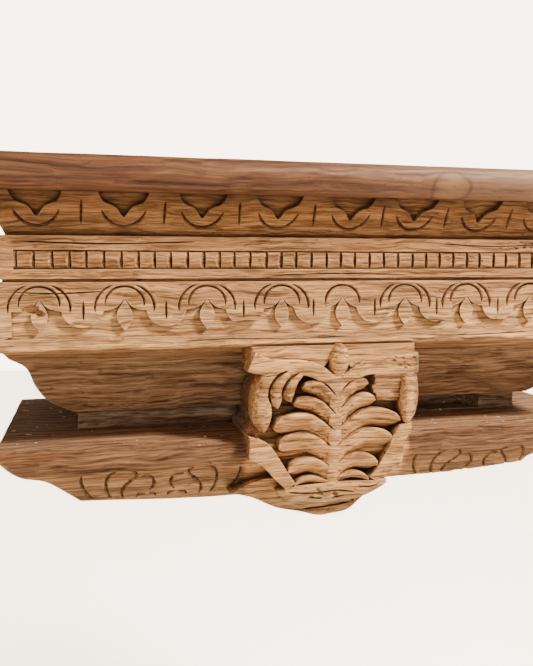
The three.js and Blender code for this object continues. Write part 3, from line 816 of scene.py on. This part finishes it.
def weathered_teak():
    wood = bpy.data.materials.new("weathered_teak")
    wood.use_nodes = True
    tree = wood.node_tree
    shader = tree.nodes["Principled BSDF"]
    place = node(tree, "ShaderNodeTexCoord").outputs["Object"]
    drift = node(tree, "ShaderNodeTexNoise", None, {
        "Vector": place, "Scale": 1 / (PATCH_SIZE * MM), "Detail": 2.0})
    pushed = node(tree, "ShaderNodeVectorMath", {"operation": "MULTIPLY_ADD"}, {
        0: drift.outputs["Color"], 1: (0, GRAIN_DRIFT * MM, GRAIN_DRIFT * MM), 2: place}).outputs[0]
    grain = streaks(tree, pushed, STREAK_LENGTH, STREAK_WIDTH, 7, 0)
    figure = streaks(tree, pushed, FIGURE_LENGTH, FIGURE_WIDTH, 3, 5)
    check = streaks(tree, pushed, CHECK_LENGTH, CHECK_WIDTH, 2, 11)
    fibre = streaks(tree, place, FIBRE_LENGTH, FIBRE_WIDTH, 3, 3)

    part = node(tree, "ShaderNodeSeparateXYZ", None, {0: place})
    height = node(tree, "ShaderNodeMapRange", None, {
        0: part.outputs[2], 1: LOWEST * MM, 2: HIGHEST * MM}).outputs[0]
    # The colour by height, painted shade on the tier and under the board included.
    tone_and_shade = node(tree, "ShaderNodeValToRGB", None, {0: height}, [
        ((z - LOWEST) / (HIGHEST - LOWEST), linear(c)) for z, c in HEIGHT_TONES_AND_SHADE]).outputs[0]
    # Painted light: the forward-standing leaf is given a paler colour, as if it caught more light than
    # the ground behind it.
    lit_leaf = node(tree, "ShaderNodeMapRange", FADE, {
        0: part.outputs[2], 1: LIT_LEAF_FOOT * MM, 2: LIT_LEAF_FOOT_FULL * MM, 3: LIT_LEAF_FOOT_SHARE}).outputs[0]
    for axis, start, full in LIT_LEAF_EDGES:
        within = node(tree, "ShaderNodeMapRange", FADE, {
            0: part.outputs[axis], 1: start * MM, 2: full * MM}).outputs[0]
        lit_leaf = node(tree, "ShaderNodeMath", TIMES, {0: lit_leaf, 1: within}).outputs[0]
    colour = node(tree, "ShaderNodeMix", MIX, {
        0: lit_leaf, 6: tone_and_shade, 7: linear(LIT_LEAF_COLOUR)}).outputs[2]
    for pattern, tones in [(grain, GRAIN_TONES), (figure, FIGURE_TONES), (fibre, FIBRE_TONES)]:
        tone = node(tree, "ShaderNodeValToRGB", None, {0: pattern}, tones).outputs[0]
        colour = node(tree, "ShaderNodeMix", MULTIPLY, {0: 1.0, 6: colour, 7: tone}).outputs[2]
    split = node(tree, "ShaderNodeValToRGB", None, {0: check}, [
        (at, grey(level)) for at, level in CHECK_LINE]).outputs[0]
    stain = node(tree, "ShaderNodeMath", TIMES, {0: split, 1: CHECK_SHARE}).outputs[0]
    colour = node(tree, "ShaderNodeMix", MIX, {
        0: stain, 6: colour, 7: linear(CHECK_COLOUR)}).outputs[2]

    # Painted shade: the more shut in a hollow is, the darker it is painted.
    hollow_light = node(tree, "ShaderNodeAmbientOcclusion", {"samples": 8}, {
        "Distance": HOLLOW_SHADE_REACH * MM}).outputs["AO"]
    hollow_shade = node(tree, "ShaderNodeMapRange", FADE, {
        0: hollow_light, 1: HOLLOW_SHADE_FROM, 2: HOLLOW_SHADE_FULL, 4: HOLLOW_SHADE_SHARE}).outputs[0]
    colour = node(tree, "ShaderNodeMix", MIX, {0: hollow_shade, 6: colour, 7: linear(HOLLOW_SHADE_COLOUR)}).outputs[2]
    # Wear and a painted highlight on the arrises.
    edge_light = node(tree, "ShaderNodeAmbientOcclusion", {"samples": 8, "inside": True}, {
        "Distance": WEAR_AND_HIGHLIGHT_REACH * MM}).outputs["AO"]
    rubbed_and_highlit = node(tree, "ShaderNodeMapRange", FADE, {
        0: edge_light, 1: ARRIS_FROM, 2: ARRIS_FULL, 4: WEAR_AND_HIGHLIGHT_SHARE}).outputs[0]
    # Painted shadow of the board: the arrises lose their pale near the rail.
    out_of_board_shadow = node(tree, "ShaderNodeMapRange", FADE, {
        0: part.outputs[2], 1: HIGHLIGHT_SHADOWED_TOP * MM, 2: HIGHLIGHT_UNSHADOWED * MM}).outputs[0]
    wear_and_highlight = node(tree, "ShaderNodeMath", TIMES, {0: rubbed_and_highlit, 1: out_of_board_shadow}).outputs[0]
    colour = node(tree, "ShaderNodeMix", MIX, {0: wear_and_highlight, 6: colour, 7: linear(WORN_HIGHLIGHT_COLOUR)}).outputs[2]
    dust = node(tree, "ShaderNodeTexNoise", None, {
        "Vector": place, "Scale": 1 / (SPECK_SIZE * MM), "Detail": 1.0}).outputs["Fac"]
    specks = node(tree, "ShaderNodeMapRange", FADE, {
        0: dust, 1: SPECK_FROM, 2: SPECK_FULL}).outputs[0]
    for start, full in LEDGE_EDGES:
        within = node(tree, "ShaderNodeMapRange", FADE, {
            0: part.outputs[2], 1: start * MM, 2: full * MM}).outputs[0]
        specks = node(tree, "ShaderNodeMath", TIMES, {0: specks, 1: within}).outputs[0]
    colour = node(tree, "ShaderNodeMix", MIX, {
        0: specks, 6: colour, 7: linear(SPECK_COLOUR)}).outputs[2]
    tree.links.new(colour, shader.inputs["Base Color"])

    rough = node(tree, "ShaderNodeMapRange", FADE, {
        0: grain, 1: 0.3, 2: 0.7, 3: ROUGH_DARK, 4: ROUGH_PALE})
    tree.links.new(rough.outputs[0], shader.inputs["Roughness"])
    shader.inputs["Specular IOR Level"].default_value = 0.3
    fine = node(tree, "ShaderNodeMath", TIMES, {0: fibre, 1: FIBRE_SHARE}).outputs[0]
    raised = node(tree, "ShaderNodeMath", {"operation": "ADD"}, {0: grain, 1: fine}).outputs[0]
    opened = node(tree, "ShaderNodeMath", TIMES, {0: split, 1: CHECK_OPENING}).outputs[0]
    depth = node(tree, "ShaderNodeMath", {"operation": "SUBTRACT"}, {0: raised, 1: opened}).outputs[0]
    bump = node(tree, "ShaderNodeBump", None, {
        "Strength": 1.0, "Distance": PORE_DEPTH * MM, "Height": depth})
    tree.links.new(bump.outputs[0], shader.inputs["Normal"])
    return wood


timber.data.materials.clear()
timber.data.materials.append(weathered_teak())
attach(timber, "root")
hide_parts("carved_corbel")

# The top board: a planed hardwood plank laid flat on the timber, with a half-round nosing worked along
# its front and both ends.
BOARD_LOW = 120.3
BOARD_THICK = 26.5
BOARD_TOP = BOARD_LOW + BOARD_THICK
BOARD_FRONT = -24
BOARD_HALF = 292
BOARD_STRAIGHT = 272
BOARD_COLUMN = 8
BOARD_ROW = 16
END_EDGE = 0.4
BOARD_WAVE = 0.6
BOARD_ARRIS = 40


def board():
    nose = BOARD_THICK / 2
    middle = BOARD_LOW + nose
    front = reach(BOARD_FRONT) + nose
    end = [(BOARD_HALF - nose + nose * math.sin(a), nose * math.cos(a))
           for a in [math.radians(90 - 9 * i) for i in range(11)]]
    straight = [(x, nose) for x in range(-BOARD_STRAIGHT, BOARD_STRAIGHT + 1, BOARD_COLUMN)]
    rings = []
    for x, half in [(-x, h) for x, h in end] + straight + end[::-1]:
        rise = max(half, END_EDGE)
        top = run((0, rise), (front, rise), BOARD_ROW)[1:]
        curl = sweep((front, 0), (nose, rise), 90, 270, 14)
        low = [(y, -h) for y, h in top[::-1]]
        ring = [(x, 0, middle - rise), (x, 0, middle + rise)]
        ring += [(x, y, middle + h + BOARD_WAVE * ripple(x, y, h, 11)) for y, h in top + curl + low]
        rings.append([(px, py, max(BOARD_LOW, min(BOARD_TOP, pz))) for px, py, pz in ring])
    return solid("top_board", rings)


plank = board()
plank.data.transform(Matrix.Scale(MM, 4))
for polygon in plank.data.polygons:
    polygon.use_smooth = True
plank.data.set_sharp_from_angle(angle=math.radians(BOARD_ARRIS))

# Planed teak: redder and closer than the carved timber, rubbed to a low sheen by hands, with long even
# grain, a few dark checks and one knot near the right.
BOARD_STREAK_LENGTH, BOARD_STREAK_WIDTH = 130, 3
BOARD_STOPS = [(0.32, "#3a2010"), (0.45, "#643d24"), (0.56, "#7c5234"), (0.72, "#a0724a")]
BOARD_DRIFT = 10
BOARD_PALER_FROM, BOARD_PALER_TO = -60, 250
BOARD_PALE_COLOUR = "#c9a083"
BOARD_CHECK_COLOUR = "#452818"
BOARD_CHECK_LINE = [(0.482, 0), (0.494, 1), (0.496, 1), (0.508, 0)]
BOARD_PORE_DEPTH = 0.8
BOARD_PALER_SHARE, BOARD_CHECK_SHARE = 0.35, 0.5
BOARD_ROUGH_DARK, BOARD_ROUGH_PALE = 0.68, 0.5
KNOT_X, KNOT_Z = 87, 129
KNOT_WIDE, KNOT_HIGH = 17, 12
KNOT_COLOUR = "#b98a5c"
KNOT_RIM_COLOUR = "#3a2012"
# How strongly the knot and its rim show, by half the distance from its middle.
KNOT_HEART = [(0.0, 0.5), (0.30, 0.3), (0.46, 0), (0.6, 0)]
KNOT_RIM = [(0.43, 0), (0.48, 0.42), (0.51, 0.42), (0.57, 0)]


def planed_teak():
    wood = bpy.data.materials.new("planed_teak")
    wood.use_nodes = True
    tree = wood.node_tree
    shader = tree.nodes["Principled BSDF"]
    place = node(tree, "ShaderNodeTexCoord").outputs["Object"]
    drift = node(tree, "ShaderNodeTexNoise", None, {
        "Vector": place, "Scale": 1 / (PATCH_SIZE * MM), "Detail": 2.0})
    pushed = node(tree, "ShaderNodeVectorMath", {"operation": "MULTIPLY_ADD"}, {
        0: drift.outputs["Color"], 1: (0, BOARD_DRIFT * MM, BOARD_DRIFT * MM), 2: place}).outputs[0]
    grain = streaks(tree, pushed, BOARD_STREAK_LENGTH, BOARD_STREAK_WIDTH, 6, 21)
    check = streaks(tree, pushed, CHECK_LENGTH, CHECK_WIDTH, 2, 31)
    fibre = streaks(tree, place, FIBRE_LENGTH, FIBRE_WIDTH, 3, 23)
    colour = node(tree, "ShaderNodeValToRGB", None, {0: grain}, [
        (at, linear(c)) for at, c in BOARD_STOPS]).outputs[0]
    part = node(tree, "ShaderNodeSeparateXYZ", None, {0: place})
    # The board turns paler towards its right end.
    paler_to_right = node(tree, "ShaderNodeMapRange", FADE, {
        0: part.outputs[0], 1: BOARD_PALER_FROM * MM, 2: BOARD_PALER_TO * MM, 4: BOARD_PALER_SHARE}).outputs[0]
    colour = node(tree, "ShaderNodeMix", MIX, {
        0: paler_to_right, 6: colour, 7: linear(BOARD_PALE_COLOUR)}).outputs[2]

    middle = (KNOT_X * MM, BOARD_DRIFT / 2 * MM, (KNOT_Z + BOARD_DRIFT / 2) * MM)
    off = node(tree, "ShaderNodeVectorMath", {"operation": "SUBTRACT"}, {
        0: pushed, 1: middle}).outputs[0]
    flat = node(tree, "ShaderNodeVectorMath", {"operation": "MULTIPLY"}, {
        0: off, 1: (1 / (KNOT_WIDE * MM), 0, 1 / (KNOT_HIGH * MM))}).outputs[0]
    from_knot = node(tree, "ShaderNodeVectorMath", {"operation": "LENGTH"}, {0: flat}).outputs["Value"]
    halved = node(tree, "ShaderNodeMath", TIMES, {0: from_knot, 1: 0.5}).outputs[0]
    for shares, tint in [(KNOT_HEART, KNOT_COLOUR), (KNOT_RIM, KNOT_RIM_COLOUR)]:
        share = node(tree, "ShaderNodeValToRGB", None, {0: halved}, [
            (at, grey(level)) for at, level in shares]).outputs[0]
        colour = node(tree, "ShaderNodeMix", MIX, {0: share, 6: colour, 7: linear(tint)}).outputs[2]
    split = node(tree, "ShaderNodeValToRGB", None, {0: check}, [
        (at, grey(level)) for at, level in BOARD_CHECK_LINE]).outputs[0]
    stain = node(tree, "ShaderNodeMath", TIMES, {0: split, 1: BOARD_CHECK_SHARE}).outputs[0]
    colour = node(tree, "ShaderNodeMix", MIX, {
        0: stain, 6: colour, 7: linear(BOARD_CHECK_COLOUR)}).outputs[2]
    tree.links.new(colour, shader.inputs["Base Color"])

    rough = node(tree, "ShaderNodeMapRange", FADE, {
        0: grain, 1: 0.3, 2: 0.7, 3: BOARD_ROUGH_DARK, 4: BOARD_ROUGH_PALE})
    tree.links.new(rough.outputs[0], shader.inputs["Roughness"])
    shader.inputs["Specular IOR Level"].default_value = 0.4
    fine = node(tree, "ShaderNodeMath", TIMES, {0: fibre, 1: FIBRE_SHARE}).outputs[0]
    depth = node(tree, "ShaderNodeMath", {"operation": "ADD"}, {0: grain, 1: fine}).outputs[0]
    bump = node(tree, "ShaderNodeBump", None, {
        "Strength": 0.4, "Distance": BOARD_PORE_DEPTH * MM, "Height": depth})
    tree.links.new(bump.outputs[0], shader.inputs["Normal"])
    return wood


plank.data.materials.clear()
plank.data.materials.append(planed_teak())
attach(plank, "root")
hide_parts("top_board")

# The studio: a pale paper floor far below and a pale surround, with a soft key from the upper right and
# a weak fill. The camera stands to the left, just under the bead row, and looks a little down.
CAMERA_AT = (-201.3, -798.7, 65.1)
CAMERA_YAW = 13.82
CAMERA_PITCH = 5.31
FOCAL_PIXELS = 720
IMAGE_HEIGHT = 666
SENSOR = 36
NEAREST = 20
FLOOR_HALF, FLOOR_Z = 4, -0.6
FLOOR_GLOW = 5.0
SKY_LIGHT, SKY_SEEN = 0.34, 8.0
LAMPS_AIM = (0, -0.15, 0)

camera = bpy.data.objects.new("camera", bpy.data.cameras.new("camera"))
bpy.context.collection.objects.link(camera)
yaw, pitch = math.radians(CAMERA_YAW), math.radians(CAMERA_PITCH)
ahead = Vector((math.sin(yaw) * math.cos(pitch), math.cos(yaw) * math.cos(pitch), -math.sin(pitch)))
camera.location = Vector(CAMERA_AT) * MM
camera.rotation_euler = ahead.to_track_quat("-Z", "Y").to_euler()
camera.data.sensor_width = SENSOR
camera.data.lens = FOCAL_PIXELS * SENSOR / IMAGE_HEIGHT
camera.data.clip_start = NEAREST * MM
bpy.context.scene.camera = camera

floor_mesh = bpy.data.meshes.new("floor")
floor_mesh.from_pydata([(x * FLOOR_HALF, y * FLOOR_HALF, FLOOR_Z) for x, y in
                        [(-1, -1), (1, -1), (1, 1), (-1, 1)]], [], [(0, 1, 2, 3)])
floor = bpy.data.objects.new("floor", floor_mesh)
bpy.context.collection.objects.link(floor)
paper = bpy.data.materials.new("floor_paper")
paper.use_nodes = True
sheet = paper.node_tree.nodes["Principled BSDF"]
sheet.inputs["Base Color"].default_value = linear("#f2ece6")
sheet.inputs["Roughness"].default_value = 0.9
sheet.inputs["Emission Color"].default_value = linear("#f6e2ce")
sheet.inputs["Emission Strength"].default_value = FLOOR_GLOW
floor_mesh.materials.append(paper)
floor_alone = bpy.data.collections.new("floor_alone")
floor_alone.objects.link(floor)
floor.light_linking.receiver_collection = floor_alone


def softbox(name, place, size, power, colour):
    lamp = bpy.data.lights.new(name, "AREA")
    lamp.shape = "SQUARE"
    lamp.size = size
    lamp.energy = power
    lamp.color = linear(colour)[:3]
    holder = bpy.data.objects.new(name, lamp)
    bpy.context.collection.objects.link(holder)
    holder.location = place
    holder.rotation_euler = (Vector(LAMPS_AIM) - Vector(place)).to_track_quat("-Z", "Y").to_euler()


softbox("key", (1.15, -0.95, 1.35), 0.3, 92, "#fff1e0")
softbox("front", (-0.5, -1.9, 0.3), 1.0, 7, "#fff8ee")
world = bpy.data.worlds.new("surround")
bpy.context.scene.world = world
world.use_nodes = True
sky = world.node_tree.nodes["Background"]
sky.inputs["Color"].default_value = linear("#f6e6d6")
seen = node(world.node_tree, "ShaderNodeLightPath").outputs["Is Camera Ray"]
strength = node(world.node_tree, "ShaderNodeMapRange", None, {0: seen, 3: SKY_LIGHT, 4: SKY_SEEN})
world.node_tree.links.new(strength.outputs[0], sky.inputs["Strength"])
